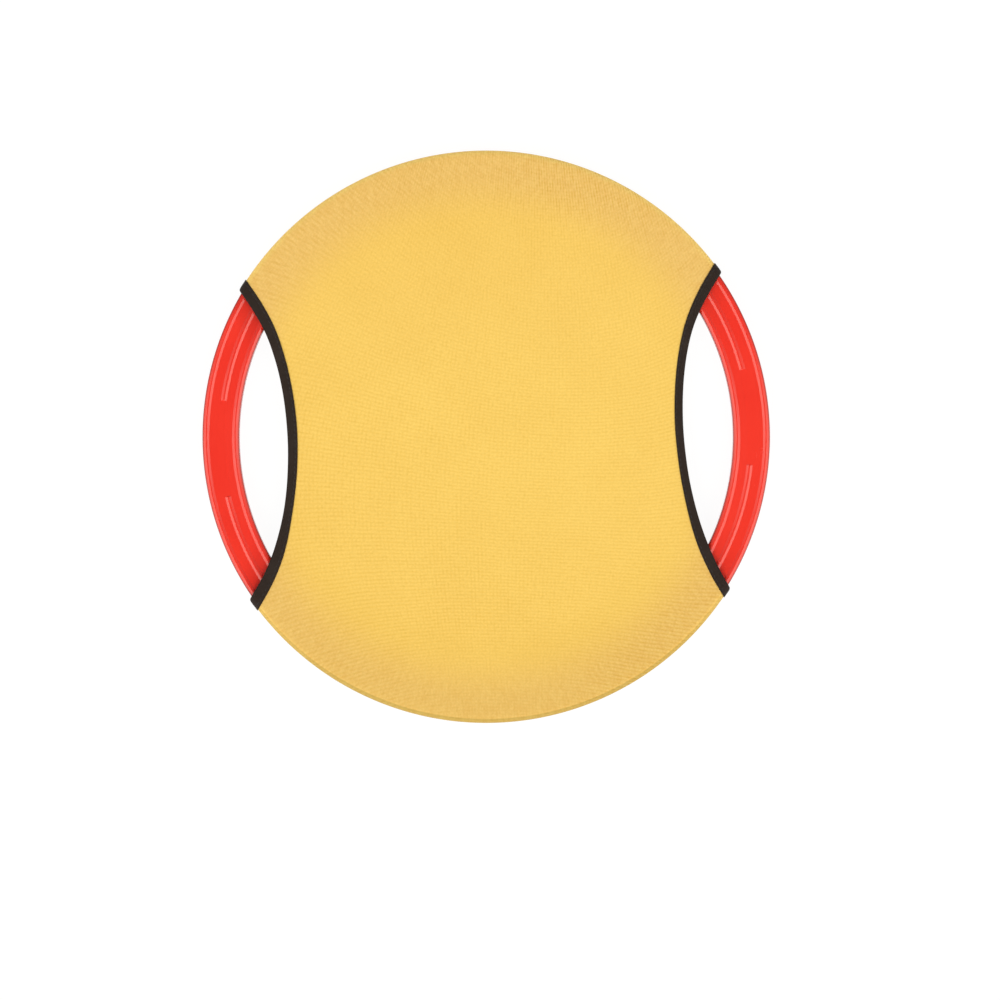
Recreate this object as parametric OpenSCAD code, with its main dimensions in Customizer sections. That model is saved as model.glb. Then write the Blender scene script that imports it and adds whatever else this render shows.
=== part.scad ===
// Two-handed rebound paddle: a moulded hoop inside a sewn cover of stretch
// mesh. The cover leaves the hoop bare at two hand openings, left and right.
// Origin at the middle of the hoop, +Z out of the front face, +X through the
// right-hand opening.

/* [Hoop] */
// Outer diameter of the hoop
ring_od = 300; // [270:1:320]
// Width of the hoop, from outer to inner edge
ring_w = 19.4; // [17:0.1:24]
// Thickness of the hoop over its beads
ring_h = 10; // [8:0.5:14]
// Width of the rounded bead along each edge
bead_w = 4.2; // [3.4:0.1:5]
// Thickness of the web between the beads
web_t = 8.4; // [5:0.2:9]
// Width of the rib along the middle of the web
rib_w = 2.4; // [1.6:0.1:3]
// Height of that rib above the web
rib_h = 0.4; // [0.3:0.1:1]
// Half angle of the plain web in the middle of each grip
grip_plain = 10.4; // [4:0.2:20]
// Turn of the hoop inside the cover
ring_turn = 1.4; // [-10:0.1:10]
// Half angle of each grip, the arc of the hoop beside a hand opening
grip_half = 36; // [30:1:44]

/* [Cover] */
// Thickness of the cloth
cloth_t = 0.5; // [0.4:0.05:0.6]
// Room between the hoop and the cloth
cloth_room = 0.85; // [0.8:0.05:1.2]
// Distance from the middle to the centre of an opening's edge curve
edge_x = 276; // [268:1:284]
// Radius of an opening's edge curve
edge_r = 172; // [168:0.5:174]
// Height of the seam allowance that is turned inside the rim
seam_h = 5; // [3:0.5:5]

/* [Binding] */
// Visible width of the folded tape
tape_w = 4.8; // [4:0.1:7]
// Thickness of the tape's outer leg
tape_out = 0.6; // [0.5:0.05:0.8]
// Thickness of the tape's inner leg
tape_in = 0.5; // [0.4:0.05:0.5]
// Diameter of the sewing thread
thread_d = 0.4; // [0.3:0.05:0.5]
// Distance of the stitch row from the tape's inner edge
stitch_in = 1.2; // [0.8:0.1:2]

/* [Bed] */
// Gap round the part of the cloth that moves
bed_gap = 0.5; // [0.4:0.1:1]
// Room between the hoop's inner edge and the moving cloth
bed_in = 0.8; // [0.6:0.1:2]

/* [Hidden] */
$fn = 180;
e = 0.01;
ring_r = ring_od / 2;
ring_ri = ring_r - ring_w;
bead_r = bead_w / 2;
bead_z = ring_h / 2 - bead_r;
rib_at = (ring_r + ring_ri) / 2;
cloth_0 = cloth_room;
cloth_1 = cloth_room + cloth_t;
leg_in = cloth_0 - tape_in;
leg_out = cloth_1 + tape_out;
tape_r = edge_r + tape_w;
stitch_r = tape_r - stitch_in;
stitch_z = ring_h / 2 + leg_out - thread_d / 2;
bed_r = ring_ri - bed_in;
bed_edge = tape_r + 1;
// angle at which the binding's inner edge crosses the rim
rim_x = (edge_x * edge_x + ring_r * ring_r - tape_r * tape_r) / (2 * edge_x);
rim_a = acos(rim_x / ring_r);

RED = [0.95, 0.22, 0.17];
YELLOW = [0.98, 0.82, 0.41];
BLACK = [0.16, 0.15, 0.16];
AMBER = [0.86, 0.70, 0.38];

// ---- shapes that repeat ----

// half section of a round-edged disc that stands d off the hoop
module disc_half(d) {
    square([ring_r - bead_r, ring_h / 2 + d]);
    square([ring_r + d, bead_z]);
    translate([ring_r - bead_r, bead_z]) intersection() {
        circle(r = bead_r + d);
        square(bead_r + d + 1);
    }
}

// upper half of that disc as a solid
module disc_up(d) {
    rotate_extrude() disc_half(d);
}

// skin on the upper half of the disc, from a to b off the hoop
module skin_up(a, b) {
    difference() {
        disc_up(b);
        translate([0, 0, -e]) disc_up(a);
    }
}

// upright cylinder on the centre of an opening's edge curve
module edge_cyl(side, r) {
    translate([side * edge_x, 0, -20]) cylinder(r = r, h = 60);
}

// outline of the moving bed, grown by g
module bed_shape(g) {
    difference() {
        circle(r = bed_r + g);
        for (s = [-1, 1])
            translate([s * edge_x, 0]) circle(r = bed_edge - g);
    }
}

// one whole panel, before its bed is parted from it
module panel_up() {
    difference() {
        skin_up(cloth_0, cloth_1);
        for (s = [-1, 1]) edge_cyl(s, edge_r + tape_in);
    }
}

// the part of a panel that lies on the hoop and inside the bindings
module panel_rim_up() {
    difference() {
        panel_up();
        translate([0, 0, ring_h / 2 - 2]) linear_extrude(8) bed_shape(bed_gap);
    }
}

// the part of a panel that is free inside the hoop
module panel_bed_up() {
    translate([0, 0, ring_h / 2 + cloth_0]) linear_extrude(cloth_t) bed_shape(0);
}

// thread row as an arc on the binding, of radius r
module stitch_arc(side, r) {
    a = 26;
    translate([side * edge_x, 0, stitch_z])
        rotate([0, 0, side > 0 ? 180 - a : -a])
            rotate_extrude(angle = 2 * a) translate([stitch_r, 0]) circle(r = r, $fn = 24);
}

// folded tape round a panel's edge, from the rim over the face and back to the rim
module binding_up(side) {
    difference() {
        intersection() {
            skin_up(leg_in, leg_out);
            edge_cyl(side, tape_r);
        }
        edge_cyl(side, edge_r);
        panel_up();
        stitch_arc(side, thread_d / 2 + 0.05);
    }
}

// overlocked allowance inside the rim, between the bindings
module rim_seam() {
    a0 = rim_a + 1.2;
    rotate([0, 0, a0])
        rotate_extrude(angle = 180 - 2 * a0)
            translate([ring_r + leg_in, -seam_h / 2]) square([tape_in, seam_h]);
}

// section of the hoop: a bead along each edge and a web between them
module hoop_section() {
    for (r = [ring_r - bead_r, ring_ri + bead_r]) {
        translate([r - bead_r, -bead_z]) square([bead_w, 2 * bead_z]);
        for (s = [-1, 1]) translate([r, s * bead_z]) circle(r = bead_r);
    }
    translate([ring_ri + bead_r, -web_t / 2]) square([ring_w - bead_w, web_t]);
}

// section of the rib on both faces of the web
module rib_section() {
    translate([rib_at - rib_w / 2, -web_t / 2 - rib_h]) square([rib_w, web_t + 2 * rib_h]);
}

// arc of the hoop that a hand holds, with a plain web in its middle
module grip_arc() {
    rotate([0, 0, -grip_half])
        rotate_extrude(angle = 2 * grip_half) hoop_section();
    for (a = [-grip_half, grip_plain]) rotate([0, 0, a])
        rotate_extrude(angle = grip_half - grip_plain) rib_section();
}

// arc of the hoop that the cover hides
module hoop_arc() {
    rotate([0, 0, grip_half])
        rotate_extrude(angle = 180 - 2 * grip_half) {
            hoop_section();
            rib_section();
        }
}

// ---- sub-parts ----

module left_grip() { color(RED) rotate([0, 0, ring_turn + 180]) grip_arc(); }
module right_grip() { color(RED) rotate([0, 0, ring_turn]) grip_arc(); }
module upper_hoop() { color(RED) rotate([0, 0, ring_turn]) hoop_arc(); }
module lower_hoop() { color(RED) rotate([0, 0, ring_turn + 180]) hoop_arc(); }

module front_panel_rim() { color(YELLOW) panel_rim_up(); }
module front_panel_bed() { color(YELLOW) panel_bed_up(); }
module back_panel_rim() { color(YELLOW) mirror([0, 0, 1]) panel_rim_up(); }
module back_panel_bed() { color(YELLOW) mirror([0, 0, 1]) panel_bed_up(); }

module upper_rim_seam() { color(AMBER) rim_seam(); }
module lower_rim_seam() { color(AMBER) rotate([0, 0, 180]) rim_seam(); }

module left_front_binding() { color(BLACK) binding_up(-1); }
module left_back_binding() { color(BLACK) mirror([0, 0, 1]) binding_up(-1); }
module right_front_binding() { color(BLACK) binding_up(1); }
module right_back_binding() { color(BLACK) mirror([0, 0, 1]) binding_up(1); }

module left_front_stitches() { color(BLACK) stitch_arc(-1, thread_d / 2); }
module left_back_stitches() { color(BLACK) mirror([0, 0, 1]) stitch_arc(-1, thread_d / 2); }
module right_front_stitches() { color(BLACK) stitch_arc(1, thread_d / 2); }
module right_back_stitches() { color(BLACK) mirror([0, 0, 1]) stitch_arc(1, thread_d / 2); }

left_grip();
right_grip();
upper_hoop();
lower_hoop();
front_panel_rim();
front_panel_bed();
back_panel_rim();
back_panel_bed();
upper_rim_seam();
lower_rim_seam();
left_front_binding();
left_back_binding();
right_front_binding();
right_back_binding();
left_front_stitches();
left_back_stitches();
right_front_stitches();
right_back_stitches();
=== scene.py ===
"""Looks of a two-handed rebound paddle: a moulded red hoop inside a sewn cover of yellow stretch mesh,
with black tape bound round the cover's edges at the two hand openings."""

import math

import bpy
import numpy as np
from mathutils import Matrix, Vector


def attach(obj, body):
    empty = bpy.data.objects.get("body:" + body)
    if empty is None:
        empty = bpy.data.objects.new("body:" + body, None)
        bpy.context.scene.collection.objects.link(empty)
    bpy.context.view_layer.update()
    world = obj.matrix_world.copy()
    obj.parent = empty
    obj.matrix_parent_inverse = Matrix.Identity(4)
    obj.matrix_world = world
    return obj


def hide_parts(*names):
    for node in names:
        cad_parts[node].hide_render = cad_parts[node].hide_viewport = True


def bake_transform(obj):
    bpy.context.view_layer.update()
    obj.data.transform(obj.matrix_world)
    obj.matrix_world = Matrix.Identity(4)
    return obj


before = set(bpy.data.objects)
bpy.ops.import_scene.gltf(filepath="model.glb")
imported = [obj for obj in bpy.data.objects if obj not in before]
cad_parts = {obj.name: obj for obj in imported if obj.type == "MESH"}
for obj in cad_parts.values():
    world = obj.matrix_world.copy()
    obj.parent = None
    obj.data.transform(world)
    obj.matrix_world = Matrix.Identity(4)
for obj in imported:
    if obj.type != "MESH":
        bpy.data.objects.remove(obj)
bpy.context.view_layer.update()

MM = 0.001

# ---- sizes of the hoop and of the cover round it, in metres ----
RING_R = 0.150  # outer radius of the hoop
RING_RI = 0.1306  # inner radius
BEAD = 0.0021  # half width of each bead
BEAD_Z = 0.0029  # height of a bead's centre
WEB = 0.0042  # half thickness of the web
RIB_AT = 0.1400  # radius of the rib's middle
TURN = math.radians(1.4)  # turn of the hoop inside the cover
PLAIN = math.radians(10.4)  # half angle of the plain web in each grip
ROUND_AT = RING_R - BEAD  # where the cover starts to turn down over the rim
EDGE_X = 0.276  # centre of an opening's edge curve
EDGE_R = 0.172  # its radius, at the fold of the tape
TAPE_R = 0.1768  # radius of the tape's sewn edge
CLOTH_IN, CLOTH_OUT = 0.00085, 0.00135
LEG_IN, LEG_OUT = 0.00035, 0.00195
MID = (CLOTH_IN + CLOTH_OUT) / 2
ARC = (BEAD + MID) * math.pi / 2
S_MAX = ROUND_AT + ARC + BEAD_Z  # cloth from the middle to the rim seam
FLOOR_Z = -0.00695


# ---- helpers ----

def new_object(name, verts, faces, uv=None):
    """A smooth shaded mesh object, with an unwrapped layer in metres if uv gives one pair for each vertex."""
    mesh = bpy.data.meshes.new(name)
    mesh.from_pydata([tuple(v) for v in verts], [], [tuple(f) for f in faces])
    if uv is not None:
        layer = mesh.uv_layers.new(name="weave")
        index = np.zeros(len(mesh.loops), np.int32)
        mesh.loops.foreach_get("vertex_index", index)
        layer.data.foreach_set("uv", np.asarray(uv, np.float32)[index].ravel())
    mesh.polygons.foreach_set("use_smooth", [True] * len(mesh.polygons))
    mesh.validate()
    mesh.update()
    obj = bpy.data.objects.new(name, mesh)
    bpy.context.scene.collection.objects.link(obj)
    return obj


def face_out(obj):
    """Turns every face of a closed mesh outwards."""
    import bmesh

    bm = bmesh.new()
    bm.from_mesh(obj.data)
    bmesh.ops.recalc_face_normals(bm, faces=bm.faces)
    bm.to_mesh(obj.data)
    bm.free()
    obj.data.update()
    return obj


def grid_faces(rows, cols, base=0, wrap_rows=False, wrap_cols=False):
    """Quads of a grid of vertices, row by row."""
    out = []
    for i in range(rows if wrap_rows else rows - 1):
        for j in range(cols if wrap_cols else cols - 1):
            a = base + i * cols + j
            b = base + i * cols + (j + 1) % cols
            c = base + ((i + 1) % rows) * cols + (j + 1) % cols
            d = base + ((i + 1) % rows) * cols + j
            out.append((a, b, c, d))
    return out


def smoothstep(a, b, x):
    t = np.clip((x - a) / (b - a), 0.0, 1.0)
    return t * t * (3 - 2 * t)


def move_with_bed(obj):
    """Bakes the object's placement into its mesh and reads its points out; nothing here moves them with the bed."""
    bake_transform(obj)
    co = np.zeros(len(obj.data.vertices) * 3, np.float32)
    obj.data.vertices.foreach_get("co", co)
    co = co.reshape(-1, 3)


class Nodes:
    """Small helper to build a node material."""

    def __init__(self, name):
        self.mat = bpy.data.materials.new(name)
        self.mat.use_nodes = True
        self.tree = self.mat.node_tree
        self.tree.nodes.clear()
        self.out = self.tree.nodes.new("ShaderNodeOutputMaterial")
        self.bsdf = self.tree.nodes.new("ShaderNodeBsdfPrincipled")
        self.link(self.bsdf.outputs["BSDF"], self.out.inputs["Surface"])

    def link(self, a, b):
        self.tree.links.new(a, b)

    def put(self, socket, value):
        if isinstance(value, bpy.types.NodeSocket):
            self.link(value, socket)
        else:
            socket.default_value = value

    def math(self, op, a, b=None, c=None, clamp=False):
        n = self.tree.nodes.new("ShaderNodeMath")
        n.operation = op
        n.use_clamp = clamp
        for i, v in enumerate((a, b, c)):
            if v is not None:
                self.put(n.inputs[i], v)
        return n.outputs[0]

    def ramp(self, x, a, b, lo=0.0, hi=1.0, smooth=True):
        n = self.tree.nodes.new("ShaderNodeMapRange")
        n.interpolation_type = "SMOOTHSTEP" if smooth else "LINEAR"
        n.clamp = True
        for i, v in enumerate((x, a, b, lo, hi)):
            self.put(n.inputs[i], v)
        return n.outputs[0]

    def noise(self, vector, scale, detail=2.0, rough=0.5, distortion=0.0):
        n = self.tree.nodes.new("ShaderNodeTexNoise")
        self.link(vector, n.inputs["Vector"])
        n.inputs["Scale"].default_value = scale
        n.inputs["Detail"].default_value = detail
        n.inputs["Roughness"].default_value = rough
        n.inputs["Distortion"].default_value = distortion
        return n.outputs["Fac"]

    def object_coords(self):
        return self.tree.nodes.new("ShaderNodeTexCoord").outputs["Object"]

    def weave_coords(self):
        n = self.tree.nodes.new("ShaderNodeUVMap")
        n.uv_map = "weave"
        return n.outputs["UV"]

    def split(self, vector):
        n = self.tree.nodes.new("ShaderNodeSeparateXYZ")
        self.link(vector, n.inputs[0])
        return n.outputs[0], n.outputs[1], n.outputs[2]

    def join(self, x, y, z=0.0):
        n = self.tree.nodes.new("ShaderNodeCombineXYZ")
        for i, v in enumerate((x, y, z)):
            self.put(n.inputs[i], v)
        return n.outputs[0]

    def mix(self, fac, a, b, kind="MIX"):
        n = self.tree.nodes.new("ShaderNodeMix")
        n.data_type = "RGBA"
        n.blend_type = kind
        self.put(n.inputs[0], fac)
        for i, v in ((6, a), (7, b)):
            self.put(n.inputs[i], (*v, 1.0) if isinstance(v, tuple) and len(v) == 3 else v)
        return n.outputs[2]

    def series(self, x, y, terms):
        """Sum of k * x^i * y^j over the terms {(i, j): k}."""
        powers = {}
        for axis, v in (("x", x), ("y", y)):
            powers[axis] = [None, v]
            for _ in range(2):
                powers[axis].append(self.math("MULTIPLY", powers[axis][-1], v))
        total = None
        for (i, j), k in terms.items():
            a, b = powers["x"][i], powers["y"][j]
            v = a if b is None else b if a is None else self.math("MULTIPLY", a, b)
            total = self.math("MULTIPLY", v, k) if total is None else self.math("MULTIPLY_ADD", v, k, total)
        return total

    def bump(self, height, strength, distance, normal=None):
        n = self.tree.nodes.new("ShaderNodeBump")
        n.inputs["Strength"].default_value = strength
        n.inputs["Distance"].default_value = distance
        self.link(height, n.inputs["Height"])
        if normal is not None:
            self.link(normal, n.inputs["Normal"])
        return n.outputs["Normal"]


# ---- camera: straight above the front face, turned so that the right-hand opening sits 1.9 degrees up ----

TILT = math.radians(1.9)
right = Vector((math.cos(TILT), -math.sin(TILT), 0))
up = Vector((math.sin(TILT), math.cos(TILT), 0))
PIXEL = 0.300 / 567.4
LENS, SENSOR = 180.0, 36.0
aim = right * ((500 - 486.2) * PIXEL) - up * ((500 - 436.74) * PIXEL)
reach = 500 * PIXEL / (SENSOR / 2 / LENS)
cam_data = bpy.data.cameras.new("camera")
cam_data.lens = LENS
cam_data.sensor_width = SENSOR
cam_data.clip_end = 100
cam = bpy.data.objects.new("camera", cam_data)
bpy.context.scene.collection.objects.link(cam)
cam.matrix_world = Matrix.Translation(aim + Vector((0, 0, 0.003 + reach))) @ Matrix(
    (right, up, Vector((0, 0, 1)))
).transposed().to_4x4()
bpy.context.scene.camera = cam


# ---- the hoop ----

RIB_FLAT, RIB_EDGE, RIB_FOOT, RIB_FLANK, RIB_SLOPE = 0.30, 0.45, 0.45, 1.15, math.radians(21)


def rib_profile():
    """Half of the rib's section from its foot to its middle, as distance from the middle and height over the web, in mm: a
    foot fillet, a straight flank, a rounded edge and a narrow flat top."""
    rise = math.sin(RIB_SLOPE)
    top = (RIB_EDGE + RIB_FOOT) * (1 - math.cos(RIB_SLOPE)) + RIB_FLANK * rise
    foot = RIB_FLAT + (RIB_EDGE + RIB_FOOT) * rise + RIB_FLANK * math.cos(RIB_SLOPE)
    out = []
    for i in range(7):
        a = RIB_SLOPE * i / 6
        out.append((foot - RIB_FOOT * math.sin(a), RIB_FOOT * (1 - math.cos(a))))
    for i in range(9):
        a = RIB_SLOPE * (1 - i / 8)
        out.append((RIB_FLAT + RIB_EDGE * math.sin(a), top - RIB_EDGE * (1 - math.cos(a))))
    out.append((0.0, top))
    return out


def bead_profile():
    """Section of the outer bead, from the wall over the crest to the web, as distance out from the crest and height: a
    rounded shoulder, two straight flanks with a round crest between them, and a fillet at the web, which rises a little
    toward the bead."""
    slope = math.radians(28)
    shoulder, crest, fillet, foot_z = 0.0007, 0.0016, 0.0008, WEB + 0.0002
    rise, run = math.sin(slope), math.cos(slope)
    top = BEAD_Z + BEAD
    out = []
    # shoulder: from upright down to the slope of the flank
    at = BEAD - shoulder
    flank = at + shoulder * rise
    low = top - crest * (1 - run) - (flank - crest * rise) * math.tan(slope) - shoulder * run
    for i in range(13):
        a = (math.pi / 2 - slope) * i / 12
        out.append((at + shoulder * math.cos(a), low + shoulder * math.sin(a)))
    for i in range(9):
        a = slope * (1 - i / 4)
        out.append((crest * math.sin(a), top - crest * (1 - math.cos(a))))
    # fillet: from the slope of the flank to level
    drop = top - foot_z - crest * (1 - run) - fillet * (1 - run)
    foot = crest * rise + drop / math.tan(slope) + fillet * rise
    for i in range(9):
        a = slope * (1 - i / 8)
        out.append((-foot + fillet * math.sin(a), foot_z + fillet * (1 - math.cos(a))))
    return out


def hoop_section():
    """Upper half of the section from the outer to the inner edge, as radius, height and share of the rib's height."""
    bead = bead_profile()
    pts = []
    for z in (0.0, 0.00012, 0.00026, 0.0005, 0.0012, 0.0021, 0.0029):
        pts.append((RING_R + 0.00010 * math.exp(-((z / 0.0002) ** 2)), z, 0.0))
    for q, z in bead:
        pts.append((ROUND_AT + q, z, 0.0))
    for r, z in ((0.1448, 0.7), (0.1436, 0.3), (0.1426, 0.06)):
        pts.append((r, WEB + 0.0002 * z, 0.0))
    half = rib_profile()
    for q, h in half:
        pts.append((RIB_AT + q * MM, WEB, h * MM))
    for q, h in reversed(half[:-1]):
        pts.append((RIB_AT - q * MM, WEB, h * MM))
    for r, z in ((0.1379, 0.06), (0.1370, 0.3), (0.1358, 0.7)):
        pts.append((r, WEB + 0.0002 * z, 0.0))
    for q, z in reversed(bead):
        pts.append((RING_RI + BEAD - q, z, 0.0))
    for z in (0.0029, 0.0021, 0.0012, 0.0005, 0.00026, 0.00012, 0.0):
        pts.append((RING_RI - 0.00010 * math.exp(-((z / 0.0002) ** 2)), z, 0.0))
    return pts


def make_hoop():
    upper = hoop_section()
    section = [(r, z, h, 1) for r, z, h in upper]
    section += [(r, z, h, -1) for r, z, h in reversed(upper[1:-1])]
    rs = np.array([p[0] for p in section])
    zs = np.array([p[1] for p in section])
    hs = np.array([p[2] for p in section])
    ss = np.array([p[3] for p in section])
    # the rib stops square at both ends of each plain grip
    plain = ((math.radians(1.0), PLAIN), (math.pi - math.radians(0.7), PLAIN))
    stations = [2 * math.pi * i / 720 for i in range(720)]
    for middle, half in plain:
        for end in (-1, 1):
            stations += [middle + end * (half + k * 0.0003) for k in range(-2, 9)]
    stations = sorted(set(round(a % (2 * math.pi), 6) for a in stations))
    verts = []
    for a in stations:
        share = 1.0
        for middle, half in plain:
            off = abs((a - middle + math.pi) % (2 * math.pi) - math.pi)
            share = min(share, float(smoothstep(half - 0.0002, half + 0.0020, np.array(off))))
        z = ss * (zs + hs * share)
        c, s = math.cos(a + TURN), math.sin(a + TURN)
        verts.append(np.stack([rs * c, rs * s, z], 1))
    n = len(stations)
    verts = np.concatenate(verts)
    faces = grid_faces(n, len(section), wrap_rows=True, wrap_cols=True)
    return face_out(new_object("hoop", verts, faces))


def hoop_material():
    m = Nodes("hoop_red_plastic")
    p = m.object_coords()
    flow = m.noise(p, 22.0, 3.0, 0.55, 0.6)
    fine = m.noise(p, 900.0, 2.0, 0.6)
    swirl = m.noise(p, 160.0, 4.0, 0.6, 1.2)
    colour = m.mix(m.ramp(flow, 0.3, 0.7), (0.812, 0.0280, 0.0135), (0.840, 0.0315, 0.0145))
    colour = m.mix(m.ramp(swirl, 0.62, 0.78, 0.0, 0.10), colour, (0.85, 0.048, 0.026))
    # painted shade: the side walls are a shade darker than the faces
    px, py, pz = m.split(p)
    out_r = m.math("SQRT", m.math("ADD", m.math("MULTIPLY", px, px), m.math("MULTIPLY", py, py)))
    wall = m.math("MAXIMUM", m.ramp(out_r, 0.1492, 0.1499), m.ramp(out_r, 0.1314, 0.1307))
    colour = m.mix(wall, colour, (0.78, 0.74, 0.74), "MULTIPLY")
    # painted shade: a fine darker line runs along each shoulder
    line = m.math("MAXIMUM", m.ramp(out_r, 0.1488, 0.1498), m.ramp(out_r, 0.1318, 0.1308, 0.0, 0.75))
    line = m.math("MULTIPLY", line, m.ramp(m.math("ABSOLUTE", pz), 0.0028, 0.0034))
    colour = m.mix(line, colour, (0.64, 0.96, 0.96), "MULTIPLY")
    # the cover's soft shade on the stretch beside each tape
    ex = m.math("SUBTRACT", m.math("ABSOLUTE", px), 0.276)
    edge = m.math("SQRT", m.math("ADD", m.math("MULTIPLY", ex, ex), m.math("MULTIPLY", py, py)))
    shade = m.math("MULTIPLY", m.ramp(edge, 0.156, 0.172), m.ramp(edge, 0.188, 0.174))
    shade = m.math("MULTIPLY", shade, m.ramp(px, -0.02, 0.02, 1.0, 0.45))
    shade = m.math("MULTIPLY", shade, m.ramp(out_r, 0.132, 0.136, 0.45, 1.0))
    colour = m.mix(shade, colour, (0.74, 0.62, 0.62), "MULTIPLY")
    m.link(colour, m.bsdf.inputs["Base Color"])
    rough = m.math("ADD", m.ramp(flow, 0.25, 0.75, 0.20, 0.25), m.ramp(swirl, 0.6, 0.8, 0.0, 0.06))
    m.link(rough, m.bsdf.inputs["Roughness"])
    m.bsdf.inputs["IOR"].default_value = 1.49
    m.bsdf.inputs["Coat Weight"].default_value = 0.4
    m.bsdf.inputs["Coat Roughness"].default_value = 0.12
    nrm = m.bump(flow, 0.10, 0.0006)
    nrm = m.bump(fine, 0.05, 0.00004, nrm)
    m.link(nrm, m.bsdf.inputs["Normal"])
    return m.mat


# ---- the cover's two panels ----

def cloth_profile(s, d):
    """Radius and height of the cloth at s along it from the middle, d off the hoop."""
    s = np.asarray(s, float)
    t = np.clip((s - ROUND_AT) / (BEAD + MID), 0, math.pi / 2)
    r = np.where(s <= ROUND_AT, s, ROUND_AT + (BEAD + d) * np.sin(t))
    z = np.where(s <= ROUND_AT, BEAD_Z + BEAD + d, BEAD_Z + (BEAD + d) * np.cos(t))
    wall = s > ROUND_AT + ARC
    z = np.where(wall, BEAD_Z - (s - ROUND_AT - ARC), z)
    return r, z


# the sewn cover pulls each opening's tape off a plain arc: turn round the edge curve in degrees, then the shift of the
# tape's fold and of its sewn edge in mm
PULLED = {
    -1: (
        (-31, -3.1, -1.5), (-28, -2.6, -0.7), (-24, -1.15, 0.2), (-20, -0.6, 0.55), (-12, -0.4, -0.55), (-4, -0.85, -0.6),
        (4, -0.85, -0.25), (12, -0.35, 0.0), (20, -0.25, 0.6), (24, -1.4, -0.15), (28, -2.7, -1.35), (31, -3.5, -2.2),
    ),
    1: (
        (-31, -0.3, 0.2), (-27, -0.05, 0.6), (-20, -0.2, 0.45), (-12, -0.55, -0.9), (-4, -0.6, -1.1), (4, 0.1, -0.35),
        (12, 1.15, 0.8), (17, 1.6, 1.45), (20, 1.25, 1.35), (24, -0.05, 0.65), (28, -1.5, -0.65), (31, -2.4, -1.6),
    ),
}
TURN_STEP = math.radians(0.1)
TURN_GRID = np.arange(-400, 401) * TURN_STEP


def pull_tables():
    """For each side the fold's shift in metres and the tape's width as a share of the plain width, over the turn."""
    kernel = np.exp(-0.5 * (np.arange(-60, 61) / 16.0) ** 2)
    kernel /= kernel.sum()
    out = {}
    width = (TAPE_R - EDGE_R) / MM
    for side, rows in PULLED.items():
        rows = np.array(rows, float)
        turn = np.radians(rows[:, 0])
        both = []
        for k in (1, 2):
            line = np.interp(TURN_GRID, turn, rows[:, k])
            both.append(np.convolve(np.pad(line, 60, mode="edge"), kernel, "valid"))
        fold, sewn = both
        out[side] = (fold * MM, (width + sewn - fold) / width)
    return out


PULL = pull_tables()


def edge_xy(side, q, phi):
    """A point q metres in from the fold of a side's tape, at a turn round the edge curve, mirrored to the right side."""
    fold, share = PULL[side]
    at = (phi - TURN_GRID[0]) / TURN_STEP
    i = min(len(TURN_GRID) - 2, max(0, int(at)))
    f = at - i
    rho = EDGE_R + fold[i] * (1 - f) + fold[i + 1] * f + q * (share[i] * (1 - f) + share[i + 1] * f)
    return EDGE_X - rho * math.cos(phi), rho * math.sin(phi)


def turn_at(side, q, r, end):
    """Turn at which that line lies r from the middle, at its upper end or lower end."""
    lo, hi = 0.0, math.radians(39.0)
    for _ in range(34):
        mid = (lo + hi) / 2
        x, y = edge_xy(side, q, end * mid)
        if math.hypot(x, y) < r:
            lo = mid
        else:
            hi = mid
    return end * (lo + hi) / 2


def panel_flat():
    """Points of the unwrapped panel, as rows from the lower rim to the upper rim: a ring of rows along each rim and a
    blended patch between them."""
    q = 0.0005
    cols = 161
    u = np.linspace(0, 1, cols)
    s_band = 0.1400
    band = np.concatenate(
        [
            np.linspace(s_band, ROUND_AT, 5),
            np.linspace(ROUND_AT, ROUND_AT + ARC, 10)[1:],
            np.linspace(ROUND_AT + ARC, S_MAX - 0.0009, 4)[1:],
            S_MAX - 0.0009 * (1 - np.sin(np.linspace(0, math.pi / 2, 6)))[1:],
        ]
    )

    def corner_angle(side, r, end):
        x, y = edge_xy(side, q, turn_at(side, q, r, end))
        return math.atan2(abs(y), x)

    def arc(s, end):
        r = float(cloth_profile(s, MID)[0])
        from_left, to_right = math.pi - corner_angle(-1, r, end), corner_angle(1, r, end)
        a = from_left + u * (to_right - from_left)
        return np.stack([s * np.cos(a), end * s * np.sin(a)], 1)

    lower = [arc(s, -1) for s in band[::-1]]
    upper = [arc(s, 1) for s in band]
    bottom, top = lower[-1], upper[0]
    rows = 150
    v = np.linspace(0, 1, rows)

    def border(side):
        lo, hi = turn_at(side, q, s_band, -1), turn_at(side, q, s_band, 1)
        line = np.array([edge_xy(side, q, lo + (hi - lo) * t) for t in v])
        return line * np.array([side, 1])

    left, righ = border(-1), border(1)
    patch = []
    for j in range(1, rows - 1):
        t = v[j]
        side = (1 - u)[:, None] * left[j] + u[:, None] * righ[j]
        ends = (1 - t) * bottom + t * top
        corner = (1 - u)[:, None] * ((1 - t) * bottom[0] + t * top[0]) + u[:, None] * (
            (1 - t) * bottom[-1] + t * top[-1]
        )
        patch.append(side + ends - corner)
    return np.stack(lower + patch + upper), cols


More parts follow.
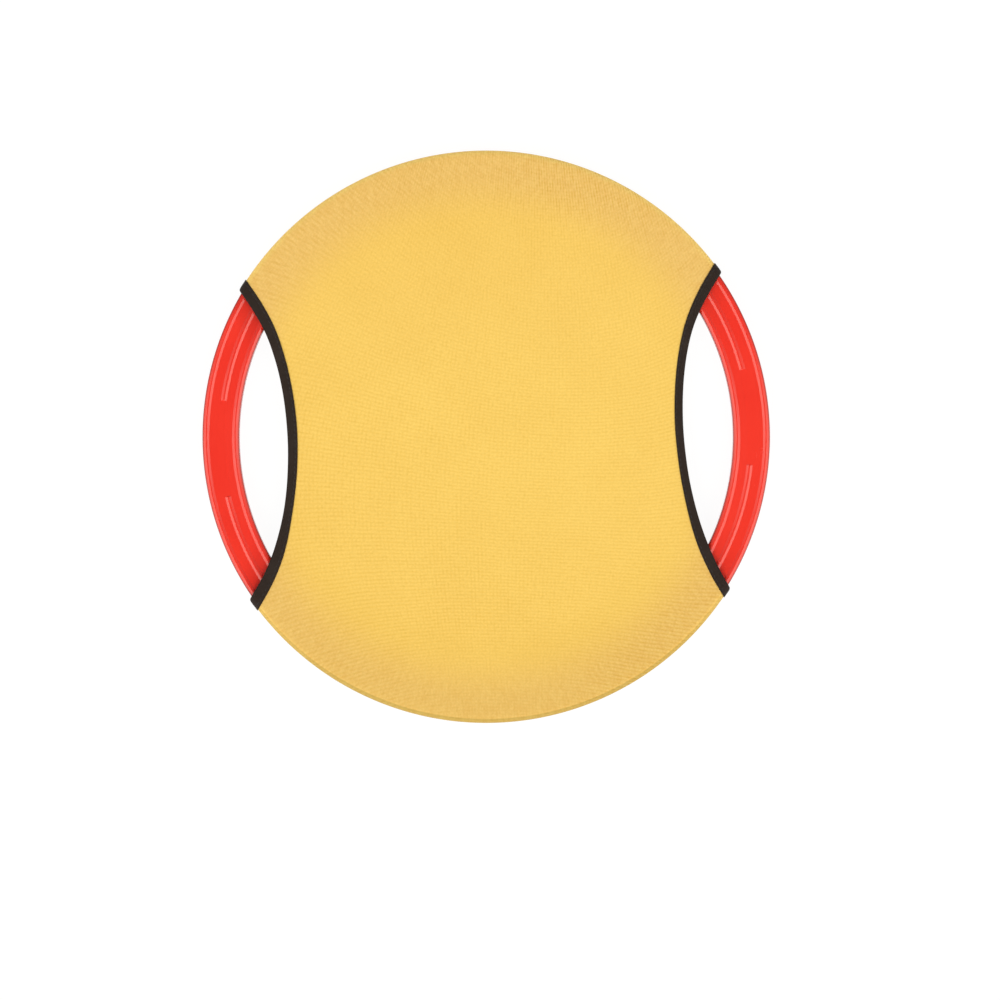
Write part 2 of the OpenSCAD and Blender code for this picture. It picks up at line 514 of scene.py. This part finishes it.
def make_panel(name, face):
    flat, cols = panel_flat()
    rows = flat.shape[0]
    xy = flat.reshape(-1, 2)
    s = np.hypot(xy[:, 0], xy[:, 1])
    a = np.arctan2(xy[:, 1], xy[:, 0])
    q = np.clip((s - (S_MAX - 0.0009)) / 0.0009, 0, 1)
    pull = 0.00006 * np.sin(a * S_MAX / 0.0031 * 2 * math.pi / (2 * math.pi)) * q
    lip = 0.00044 * (1 - np.sqrt(np.clip(1 - q * q, 0, 1)))
    layers = []
    for d in (CLOTH_OUT, CLOTH_IN):
        r, z = cloth_profile(s, d)
        if d == CLOTH_OUT:
            r = r - lip + pull
        z = np.maximum(z, 0.00003)
        layers.append(np.stack([r * np.cos(a), r * np.sin(a), face * z], 1))
    n = len(xy)
    verts = np.concatenate(layers)
    faces = grid_faces(rows, cols)
    faces += [tuple(reversed([i + n for i in f])) for f in grid_faces(rows, cols)]
    border = [j for j in range(cols)]
    border += [i * cols + cols - 1 for i in range(1, rows)]
    border += [(rows - 1) * cols + j for j in range(cols - 2, -1, -1)]
    border += [i * cols for i in range(rows - 2, 0, -1)]
    for i, b in enumerate(border):
        c = border[(i + 1) % len(border)]
        faces.append((b, b + n, c + n, c))
    return face_out(new_object(name, verts, faces, np.concatenate([xy, xy]))), xy, rows, cols


def cloth_material():
    m = Nodes("cover_yellow_mesh")
    uv = m.weave_coords()
    x, y, _ = m.split(uv)
    # the knit bends where the cloth is pulled over the hoop: the rows sag between the upper corners, and the columns
    # close up toward both rims, so each is a low power series in decimetres from the middle
    drift = m.noise(uv, 16.0, 2.0, 0.5)
    sway = m.noise(m.join(y, x, 0.37), 13.0, 2.0, 0.5)
    x2, y2 = m.math("MULTIPLY", x, x), m.math("MULTIPLY", y, y)
    dx, dy = m.math("MULTIPLY", x, 10.0), m.math("MULTIPLY", y, 10.0)
    row = m.series(dx, dy, {(0, 1): 1.0, (1, 0): 0.16, (2, 0): -0.08, (3, 0): -0.07, (1, 1): 0.16, (2, 1): -0.17,
                            (3, 1): -0.08, (1, 2): 0.05, (3, 2): -0.04, (0, 2): -0.03, (0, 3): -0.018})
    col = m.series(dx, dy, {(1, 0): 1.0, (0, 1): -0.11, (0, 2): -0.06, (1, 1): 0.09, (1, 2): 0.26})
    row = m.math("MULTIPLY_ADD", row, 0.1, m.math("MULTIPLY", m.math("SUBTRACT", drift, 0.5), 0.0040))
    col = m.math("MULTIPLY_ADD", col, 0.1, m.math("MULTIPLY", m.math("SUBTRACT", sway, 0.5), 0.0040))
    wave_c = m.math("COSINE", m.math("MULTIPLY", col, 2 * math.pi / 0.00219))
    wave_r = m.math("COSINE", m.math("MULTIPLY", row, 2 * math.pi / 0.00182))
    line_c = m.ramp(wave_c, -0.7, 0.95)
    line_r = m.ramp(wave_r, -0.7, 0.95)
    # yarn that is a little thicker or thinner along each row and column
    yarn_r = m.noise(m.join(m.math("MULTIPLY", x, 330.0), m.math("MULTIPLY", row, 420.0), 0.1), 1.0, 2.0)
    yarn_c = m.noise(m.join(m.math("MULTIPLY", col, 420.0), m.math("MULTIPLY", y, 330.0), 0.7), 1.0, 2.0)
    line_r = m.math("MULTIPLY", line_r, m.ramp(yarn_r, 0.3, 0.7, 0.45, 1.00))
    line_c = m.math("MULTIPLY", line_c, m.ramp(yarn_c, 0.35, 0.7, 0.25, 0.90))
    # the rows show least at the top and at the middle of the lower rim, and the columns least at the upper left and in the
    # lower corners, where the cloth is pulled the other way
    reach_s = m.math("SQRT", m.math("ADD", x2, y2))
    on_hoop = m.ramp(reach_s, 0.1120, 0.1420)
    foot, head = m.ramp(y, -0.03, -0.09), m.ramp(y, 0.03, 0.11)
    middle = m.ramp(m.math("ABSOLUTE", x), 0.075, 0.02)
    left_foot = m.math("MULTIPLY", foot, m.ramp(x, -0.02, -0.07))
    show_r = m.math("MULTIPLY_ADD", m.math("MULTIPLY", m.ramp(y, -0.095, -0.130), middle), -0.58,
                    m.ramp(y, 0.115, 0.0, 0.54, 1.0))
    show_r = m.math("MULTIPLY_ADD", m.math("MULTIPLY", left_foot, on_hoop), -0.35, show_r)
    line_r = m.math("MULTIPLY", line_r, show_r)
    slack = m.math("SUBTRACT", y, m.math("MULTIPLY", x, 0.9))
    show_c = m.ramp(slack, -0.12, 0.045, 0.42, 0.96)
    for part, share in (
        (m.math("MULTIPLY", m.math("MULTIPLY", foot, middle), m.ramp(y, -0.130, -0.095)), 0.45),
        (left_foot, -0.45),
        (m.math("MULTIPLY", m.ramp(y, 0.095, 0.130), m.ramp(x, -0.01, 0.045)), 0.75),
        (m.math("MULTIPLY", head, m.ramp(x, -0.03, -0.09)), -0.60),
    ):
        show_c = m.math("MULTIPLY_ADD", part, share, show_c)
    line_c = m.math("MULTIPLY", line_c, m.math("MAXIMUM", show_c, 0.0))
    gap = m.math("MAXIMUM", line_r, line_c)
    hole = m.math("MULTIPLY", line_r, line_c)
    patch = m.noise(uv, 28.0, 3.0, 0.6)
    fibre = m.noise(uv, 2600.0, 2.0, 0.7)
    slub = m.ramp(m.noise(uv, 860.0, 2.0, 0.6), 0.32, 0.68)
    low = m.ramp(y, -0.02, -0.145)
    # the cloth darkens a little from the middle out toward the hoop, and over the hoop it carries painted shade, where
    # the hoop behind keeps back the light that comes through the mesh, with the hoop's red through its holes in short
    # streaks that run out over the hoop
    angle = m.math("ARCTAN2", y, x)
    streak = m.noise(m.join(m.math("MULTIPLY", angle, 92.0), m.math("MULTIPLY", reach_s, 230.0), 0.3), 1.0, 3.0, 0.65)
    across = m.math("MULTIPLY", m.math("SUBTRACT", x, 0.02), 0.55)
    from_middle = m.math("SQRT", m.math("ADD", m.math("MULTIPLY", across, across), y2))
    body = m.mix(m.ramp(patch, 0.3, 0.7), (0.841, 0.571, 0.1335), (0.860, 0.591, 0.142))
    body = m.mix(m.ramp(from_middle, 0.025, 0.125), body, (0.970, 0.943, 0.915), "MULTIPLY")
    body = m.mix(foot, body, (1.009, 1.020, 1.030), "MULTIPLY")
    body = m.mix(m.math("MULTIPLY", foot, m.ramp(reach_s, 0.099, 0.117)), body, (0.973, 0.967, 0.935), "MULTIPLY")
    # painted shade over the hoop, a little darker again over the lower half
    over = m.mix(m.ramp(streak, 0.30, 0.70), (0.741, 0.466, 0.1350), (0.785, 0.528, 0.171))
    over = m.mix(low, over, (0.953, 0.954, 0.875), "MULTIPLY")
    colour = m.mix(on_hoop, body, over)
    colour = m.mix(m.ramp(fibre, 0.25, 0.75, 0.0, 0.10), colour, (0.863, 0.595, 0.164))
    colour = m.mix(1.0, colour, m.mix(slub, (0.964, 0.957, 0.938), (1.028, 1.034, 1.050)), "MULTIPLY")
    bold = m.math("MULTIPLY_ADD", on_hoop, 0.24, m.math("MULTIPLY_ADD", low, 0.16, 0.50))
    colour = m.mix(m.math("MULTIPLY", gap, bold), colour, (0.905, 0.835, 0.620), "MULTIPLY")
    colour = m.mix(m.math("MULTIPLY", hole, bold), colour, (0.920, 0.860, 0.700), "MULTIPLY")
    # the back panel's knit shows faintly through the front one, as a slanted beat in the upper left
    beat = m.math("MULTIPLY_ADD", m.math("SUBTRACT", sway, 0.5), 0.0030,
                  m.math("MULTIPLY_ADD", x, math.cos(math.radians(44)), m.math("MULTIPLY", y, math.sin(math.radians(44)))))
    beat = m.ramp(m.math("COSINE", m.math("MULTIPLY", beat, 2 * math.pi / 0.00272)), -0.7, 0.95)
    beat = m.math("MULTIPLY", beat, m.math("MULTIPLY", m.ramp(y, 0.045, 0.120), m.ramp(x, 0.035, -0.020, 0.0, 0.19)))
    colour = m.mix(beat, colour, (0.905, 0.835, 0.620), "MULTIPLY")
    # where it turns down over the rim, the cloth carries painted light at the top, and it is darker along the lower rim
    thin = m.math("MULTIPLY", m.ramp(reach_s, 0.1478, 0.1505), m.math("SUBTRACT", 1.0, low))
    colour = m.mix(thin, colour, (1.25, 1.33, 1.27), "MULTIPLY")
    rim = m.ramp(
        reach_s,
        m.math("SUBTRACT", 0.1500, m.math("MULTIPLY", low, 0.0014)),
        m.math("SUBTRACT", 0.1508, m.math("MULTIPLY", low, 0.0014)),
    )
    colour = m.mix(m.math("MULTIPLY", rim, low), colour, (0.690, 0.715, 0.630), "MULTIPLY")
    m.link(colour, m.bsdf.inputs["Base Color"])
    m.link(m.ramp(fibre, 0.2, 0.8, 0.78, 0.92), m.bsdf.inputs["Roughness"])
    m.bsdf.inputs["Specular IOR Level"].default_value = 0.18
    m.bsdf.inputs["Sheen Weight"].default_value = 0.06
    m.bsdf.inputs["Sheen Roughness"].default_value = 0.5
    height = m.math("SUBTRACT", m.math("MULTIPLY", fibre, 0.25), m.math("MAXIMUM", gap, hole))
    m.link(m.bump(height, 0.22, 0.00012), m.bsdf.inputs["Normal"])
    return m.mat


# ---- the bindings, their thread and the rim seams ----

FACE_TURN = {}


def tape_point(side, q, d, station):
    """A point of a side's tape, q metres in from its fold and d off the hoop, mirrored to the right side: on the face, over
    the rounded rim, or down the rim's wall. station is ('face', share, 0), ('rim', turn, end) or ('wall', height, end)."""
    kind, t, end = station
    if kind == "face":
        key = (side, round(q, 5), 1 if t >= 0 else -1)
        if key not in FACE_TURN:
            FACE_TURN[key] = turn_at(side, key[1], ROUND_AT, key[2])
        phi = abs(t) * FACE_TURN[key]
        z = BEAD_Z + BEAD + d
    else:
        turn = t if kind == "rim" else math.pi / 2
        phi = turn_at(side, q, ROUND_AT + (BEAD + d) * math.sin(turn), end)
        z = BEAD_Z + (BEAD + d) * math.cos(turn) if kind == "rim" else t
    x, y = edge_xy(side, q, phi)
    return x, y, z


def tape_section():
    """Closed outline of the folded tape, as distance from its fold and offset from the hoop, in mm."""
    pts = []
    w = (TAPE_R - EDGE_R) / MM
    o, i = LEG_OUT / MM, LEG_IN / MM
    co, ci = CLOTH_OUT / MM + 0.02, CLOTH_IN / MM - 0.02
    r = 0.26
    pts.append((w, co))
    for k in range(6):
        a = math.pi / 2 * k / 5
        pts.append((w - r + r * math.cos(a), o - r + r * math.sin(a)))
    for q in (3.9, 3.2, 2.5, 1.8, 1.3):
        pts.append((q, o))
    mid, half = (o + i) / 2, (o - i) / 2
    for k in range(13):
        a = math.pi / 2 + math.pi * k / 12
        pts.append((half + half * math.cos(a), mid + half * math.sin(a)))
    for q in (1.8, 2.8, 3.8):
        pts.append((q, i))
    pts.append((w - 0.15, i))
    pts.append((w, i + 0.15))
    pts.append((w, ci))
    for q in (3.6, 2.2, 1.0):
        pts.append((q, ci))
    pts.append((0.5, ci + 0.02))
    pts.append((0.5, co - 0.02))
    for q in (1.0, 2.2, 3.6):
        pts.append((q, co))
    return pts


STITCH_PITCH = 0.0028


def tape_stations():
    out = [("wall", z, -1) for z in (0.00002, 0.0002, 0.0006, 0.0013, 0.0021)]
    out += [("rim", math.pi / 2 * (1 - k / 12), -1) for k in range(12)]
    out += [("face", -1 + 2 * k / 190, 0) for k in range(191)]
    out += [("rim", math.pi / 2 * (k / 12), 1) for k in range(1, 13)]
    out += [("wall", z, 1) for z in (0.0021, 0.0013, 0.0006, 0.0002, 0.00002)]
    return out


def make_binding(name, side, face, seed):
    section = tape_section()
    stations = tape_stations()
    outer_q = LEG_OUT / MM
    verts, uv = [], []
    along = 0.0
    before = None
    for st in stations:
        here = Vector(tape_point(side, 0.0024, LEG_OUT, st))
        if before is not None:
            along += (here - before).length
        before = here
        wave = along / STITCH_PITCH * 2 * math.pi
        tuck = 0.5 - 0.5 * math.cos(wave)
        ends = 1.0
        if st[0] == "wall":
            ends = 0.25 + 0.75 * min(1.0, st[1] / 0.0009) ** 0.5
        drift = 0.10 * math.sin(along * 61 + seed) + 0.06 * math.sin(along * 143 + 2.1 * seed)
        across = 0.0
        for k, (q, d) in enumerate(section):
            top = d >= outer_q - 0.30
            if top:
                # the tape sinks at each stitch hole, stands a little proud between the stitches, and frays its width
                crown = -0.10 * math.exp(-(((q - 3.6) / 0.55) ** 2)) * (1 - 0.75 * tuck)
                crown += 0.035 * math.exp(-(((q - 1.9) / 0.9) ** 2))
                d2 = d + crown - 0.30 * (1 - ends)
                q2 = q + (drift * 0.55 + 0.05 * (tuck - 0.5)) * float(smoothstep(2.2, 4.6, np.array(q)))
            else:
                d2, q2 = d, q
            x, y, z = tape_point(side, q2 * MM, d2 * MM, st)
            verts.append((side * x, y, face * z))
            if k:
                across += math.hypot(q - section[k - 1][0], d - section[k - 1][1]) * MM
            uv.append((along, across))
    n = len(section)
    faces = grid_faces(len(stations), n, wrap_cols=True)
    last = (len(stations) - 1) * n
    # the ends are closed leg by leg: the outer leg, the fold and the inner leg
    for base, flip in ((0, False), (last, True)):
        cap = cap_faces(n)
        for f in cap:
            f = tuple(base + i for i in f)
            faces.append(tuple(reversed(f)) if flip else f)
    return face_out(new_object(name, verts, faces, uv))


def cap_faces(n):
    """Quads and triangles between the tape's outside and its inside, walking both from the sewn edge of the outer leg
    round the fold to the sewn edge of the inner leg."""
    outside = list(range(0, n - 8))
    inside = list(range(n - 1, n - 9, -1))
    out = []
    i = j = 0
    total_o, total_i = len(outside) - 1, len(inside) - 1
    while i < total_o or j < total_i:
        if j >= total_i or (i < total_o and i / total_o <= j / total_i):
            out.append((outside[i], outside[i + 1], inside[j]))
            i += 1
        else:
            out.append((outside[i], inside[j + 1], inside[j]))
            j += 1
    return out


def tape_material():
    m = Nodes("binding_black_tape")
    uv = m.weave_coords()
    x, y, _ = m.split(uv)
    ribs = m.math("SINE", m.math("MULTIPLY", x, 2 * math.pi / 0.00052))
    cross = m.math("SINE", m.math("MULTIPLY", y, 2 * math.pi / 0.00040))
    weave = m.math("MULTIPLY", m.math("ADD", ribs, cross), 0.5)
    fibre = m.noise(uv, 3000.0, 2.0, 0.7)
    wear = m.noise(uv, 60.0, 3.0, 0.6)
    colour = m.mix(m.ramp(weave, -0.8, 0.8), (0.0122, 0.0072, 0.0052), (0.0300, 0.0186, 0.0138))
    colour = m.mix(m.ramp(wear, 0.45, 0.75, 0.0, 0.35), colour, (0.038, 0.028, 0.023))
    colour = m.mix(m.ramp(fibre, 0.55, 0.8, 0.0, 0.25), colour, (0.050, 0.038, 0.031))
    m.link(colour, m.bsdf.inputs["Base Color"])
    m.link(m.ramp(fibre, 0.2, 0.8, 0.72, 0.90), m.bsdf.inputs["Roughness"])
    m.bsdf.inputs["Specular IOR Level"].default_value = 0.22
    m.bsdf.inputs["Sheen Weight"].default_value = 0.03
    height = m.math("ADD", weave, m.math("MULTIPLY", fibre, 0.4))
    m.link(m.bump(height, 0.5, 0.00008), m.bsdf.inputs["Normal"])
    return m.mat


def make_stitches(name, side, face):
    """A row of separate stitches, each an arched thread that goes down into the tape at both ends."""
    stations = tape_stations()
    path, length = [], [0.0]
    for st in stations[4:-4]:
        p = Vector(tape_point(side, 0.0036, LEG_OUT - 0.0002, st))
        if path:
            length.append(length[-1] + (p - path[-1]).length)
        path.append(p)
    pts = np.array([tuple(p) for p in path])
    length = np.array(length)

    def at(s):
        return np.array([np.interp(s, length, pts[:, k]) for k in range(3)])

    def normal_at(p):
        r = math.hypot(p[0], p[1])
        if r <= ROUND_AT:
            return np.array([0, 0, 1.0])
        out = np.array([p[0] / r, p[1] / r, 0])
        n = out * (r - ROUND_AT) + np.array([0, 0, max(0.0, p[2] - BEAD_Z)])
        return n / max(1e-9, np.linalg.norm(n))

    verts, faces, uv = [], [], []
    count = int((length[-1] - 0.0016) // STITCH_PITCH)
    lead = (length[-1] - count * STITCH_PITCH) / 2
    sides, rings = 8, 9
    for k in range(count):
        mid = lead + (k + 0.5) * STITCH_PITCH
        base = len(verts)
        for j in range(rings):
            t = -1 + 2 * j / (rings - 1)
            s = mid + t * 0.00115
            p, n = at(s), normal_at(at(s))
            tangent = at(s + 0.0001) - at(s - 0.0001)
            tangent = tangent / np.linalg.norm(tangent)
            b = np.cross(tangent, n)
            b = b / np.linalg.norm(b)
            n2 = np.cross(b, tangent)
            # each stitch leans a little across the row, as lockstitch does
            centre = p + n2 * (0.00008 - 0.00032 * t**4) + b * (0.00011 * t)
            rad = 0.0002 * math.sqrt(max(0.12, 1 - 0.8 * t**6))
            for q in range(sides):
                a = 2 * math.pi * q / sides
                v = centre + rad * (math.cos(a) * b + math.sin(a) * n2)
                verts.append((side * v[0], v[1], face * v[2]))
                uv.append((s, q * 0.00016))
        faces += grid_faces(rings, sides, base, wrap_cols=True)
        faces.append(tuple(base + q for q in range(sides)))
        faces.append(tuple(base + (rings - 1) * sides + q for q in reversed(range(sides))))
    return face_out(new_object(name, verts, faces, uv))


def thread_material(name, dark, light):
    m = Nodes(name)
    uv = m.weave_coords()
    x, y, _ = m.split(uv)
    ply = m.math("SINE", m.math("ADD", m.math("MULTIPLY", x, 2 * math.pi / 0.0005), m.math("MULTIPLY", y, 5200.0)))
    fibre = m.noise(uv, 5200.0, 2.0, 0.7)
    colour = m.mix(m.ramp(ply, -0.7, 0.9), dark, light)
    colour = m.mix(m.ramp(fibre, 0.5, 0.8, 0.0, 0.3), colour, light)
    m.link(colour, m.bsdf.inputs["Base Color"])
    m.link(m.ramp(fibre, 0.2, 0.8, 0.48, 0.66), m.bsdf.inputs["Roughness"])
    m.bsdf.inputs["Specular IOR Level"].default_value = 0.35
    m.link(m.bump(ply, 0.5, 0.00004), m.bsdf.inputs["Normal"])
    return m.mat


def make_rim_seam(name, flip):
    """The overlocked allowance inside the rim: a thin band with a thread ladder over both its faces, and the two folded
    edges that meet at the rim as a low ridge."""
    a0 = math.radians(36.69)
    a1 = math.pi - a0
    n = 1120
    section = [
        (150.80, -2.5), (150.82, -2.1), (150.82, -1.2), (150.84, -0.45), (150.98, -0.15), (151.02, 0.0),
        (150.98, 0.15), (150.84, 0.45), (150.82, 1.2), (150.82, 2.1), (150.80, 2.5),
        (150.60, 2.62), (150.40, 2.5), (150.40, 1.2), (150.40, 0.0), (150.40, -1.2), (150.40, -2.5), (150.60, -2.62),
    ]
    verts, uv = [], []
    for i in range(n + 1):
        a = a0 + (a1 - a0) * i / n
        along = a * 0.1506
        loop = math.sin(along / 0.0021 * 2 * math.pi)
        for k, (r, z) in enumerate(section):
            edge = min(1.0, abs(z) / 2.5) ** 2
            r2 = r - 0.05 * (0.5 + 0.5 * loop) * (1 if r > 150.6 and abs(z) > 0.4 else -0.6)
            z2 = z + 0.10 * edge * loop * (1 if z > 0 else -1)
            ang = a + (math.pi if flip else 0)
            verts.append((r2 * MM * math.cos(ang), r2 * MM * math.sin(ang), z2 * MM))
            uv.append((along, k * 0.0005))
    m = len(section)
    faces = grid_faces(n + 1, m, wrap_cols=True)
    faces.append(tuple(range(m)))
    faces.append(tuple(n * m + k for k in reversed(range(m))))
    return face_out(new_object(name, verts, faces, uv))


# ---- build ----

hoop = make_hoop()
hoop.data.materials.append(hoop_material())
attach(hoop, "ring")
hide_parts("left_grip", "right_grip", "upper_hoop", "lower_hoop")

tape_mat = tape_material()
thread_mat = thread_material("binding_black_thread", (0.010, 0.009, 0.010), (0.034, 0.031, 0.032))
seam_mat = thread_material("seam_yellow_thread", (0.504, 0.279, 0.0405), (0.774, 0.468, 0.099))
cloth_mat = cloth_material()

trims = {"front": [], "back": []}
for s_name, side in (("left", -1), ("right", 1)):
    for f_name, face in (("front", 1), ("back", -1)):
        key = f"{s_name}_{f_name}"
        seed = {"left_front": 0.4, "left_back": 1.7, "right_front": 2.9, "right_back": 4.3}[key]
        tape = make_binding(key + "_tape", side, face, seed)
        tape.data.materials.append(tape_mat)
        move_with_bed(tape)
        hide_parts(key + "_binding")
        thread = make_stitches(key + "_thread", side, face)
        thread.data.materials.append(thread_mat)
        move_with_bed(thread)
        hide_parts(key + "_stitches")
        trims[f_name] += [tape, thread]

for name, flip in (("upper_rim_seam", False), ("lower_rim_seam", True)):
    seam = make_rim_seam(name + "_thread", flip)
    seam.data.materials.append(seam_mat)
    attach(seam, "cover")
    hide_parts(name)

for f_name, face in (("front", 1), ("back", -1)):
    panel, flat_xy, n_rows, n_cols = make_panel(f_name + "_panel", face)
    panel.data.materials.append(cloth_mat)
    move_with_bed(panel)
    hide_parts(f_name + "_panel_rim", f_name + "_panel_bed")


# ---- floor, light ----

def make_floor():
    """A wide pale floor with a round well under the middle of the bed, which lets the bed dish downwards."""
    n = 128
    verts, faces = [], []
    for radius, z in ((30.0, 0.0), (2.0, 0.0), (0.4, 0.0), (0.098, 0.0), (0.098, -0.06)):
        for i in range(n):
            a = 2 * math.pi * i / n
            verts.append((radius * math.cos(a), radius * math.sin(a), FLOOR_Z + z))
    faces = grid_faces(5, n, wrap_cols=True)
    faces.append(tuple(4 * n + i for i in range(n)))
    obj = new_object("floor", verts, faces)
    obj.data.polygons.foreach_set("use_smooth", [False] * len(obj.data.polygons))
    return obj


floor = make_floor()
fm = Nodes("floor_white")
fm.bsdf.inputs["Base Color"].default_value = (0.08, 0.08, 0.08, 1)
fm.bsdf.inputs["Roughness"].default_value = 0.9
fm.bsdf.inputs["Specular IOR Level"].default_value = 0.0
fm.bsdf.inputs["Emission Color"].default_value = (1, 1, 1, 1)
fm.bsdf.inputs["Emission Strength"].default_value = 0.945
floor.data.materials.append(fm.mat)

SOFTBOX = 2.07
world = bpy.data.worlds.new("studio")
bpy.context.scene.world = world
world.use_nodes = True
wt = world.node_tree
wt.nodes.clear()
w_out = wt.nodes.new("ShaderNodeOutputWorld")
w_bg = wt.nodes.new("ShaderNodeBackground")
w_direction = wt.nodes.new("ShaderNodeTexCoord").outputs["Generated"]


def world_math(op, *values):
    n = wt.nodes.new("ShaderNodeMath")
    n.operation = op
    for i, v in enumerate(values):
        if isinstance(v, bpy.types.NodeSocket):
            wt.links.new(v, n.inputs[i])
        else:
            n.inputs[i].default_value = v
    return n.outputs[0]


def world_ramp(x, a, b):
    n = wt.nodes.new("ShaderNodeMapRange")
    n.interpolation_type = "SMOOTHSTEP"
    n.clamp = True
    wt.links.new(x, n.inputs[0])
    for i, v in enumerate((a, b, 0.0, 1.0)):
        n.inputs[i + 1].default_value = v
    return n.outputs[0]


# a soft sky with one wide softbox round the lower side, a third of the way down from overhead
w_xyz = wt.nodes.new("ShaderNodeSeparateXYZ")
wt.links.new(w_direction, w_xyz.inputs[0])
w_dot = wt.nodes.new("ShaderNodeVectorMath")
w_dot.operation = "DOT_PRODUCT"
wt.links.new(w_direction, w_dot.inputs[0])
w_dot.inputs[1].default_value = tuple(-up)
w_z = w_xyz.outputs[2]
w_side = world_math("SQRT", world_math("MAXIMUM", world_math("SUBTRACT", 1.0, world_math("MULTIPLY", w_z, w_z)), 0.0001))
w_turn = world_math("DIVIDE", w_dot.outputs["Value"], w_side)
w_round = world_ramp(w_turn, -0.50, 0.12)
w_box = world_math("MULTIPLY", world_ramp(w_z, 0.965, 0.88), world_ramp(w_z, 0.26, 0.57))
w_hot = world_math("MULTIPLY_ADD", world_ramp(w_z, 0.60, 0.72), 0.2, 1.0)
w_soft = world_math("MULTIPLY", world_math("MULTIPLY", world_math("MULTIPLY", w_round, w_box), w_hot), SOFTBOX)
w_fill = world_math("MULTIPLY", world_math("MULTIPLY", world_ramp(w_z, 0.93, 0.78), world_ramp(w_z, 0.30, 0.62)), 0.12)
w_fill = world_math("ADD", w_fill, world_math("MULTIPLY", world_ramp(w_z, 0.34, 0.08), 0.84))
w_far = world_math("MULTIPLY", world_ramp(w_turn, 0.0, -0.7), world_ramp(w_z, 0.45, 0.15))
w_fill = world_math("ADD", w_fill, world_math("MULTIPLY", w_far, 0.5))
wt.links.new(world_math("ADD", w_fill, 0.16), w_bg.inputs["Strength"])
w_bg.inputs["Color"].default_value = (1, 1, 1, 1)
w_box_bg = wt.nodes.new("ShaderNodeBackground")
w_box_bg.inputs["Color"].default_value = (1.0, 0.955, 0.86, 1)
wt.links.new(w_soft, w_box_bg.inputs["Strength"])
w_sum = wt.nodes.new("ShaderNodeAddShader")
wt.links.new(w_bg.outputs[0], w_sum.inputs[0])
wt.links.new(w_box_bg.outputs[0], w_sum.inputs[1])
wt.links.new(w_sum.outputs[0], w_out.inputs[0])


scene = bpy.context.scene
scene.view_settings.view_transform = "Standard"
scene.view_settings.look = "None"
scene.view_settings.exposure = 0.0
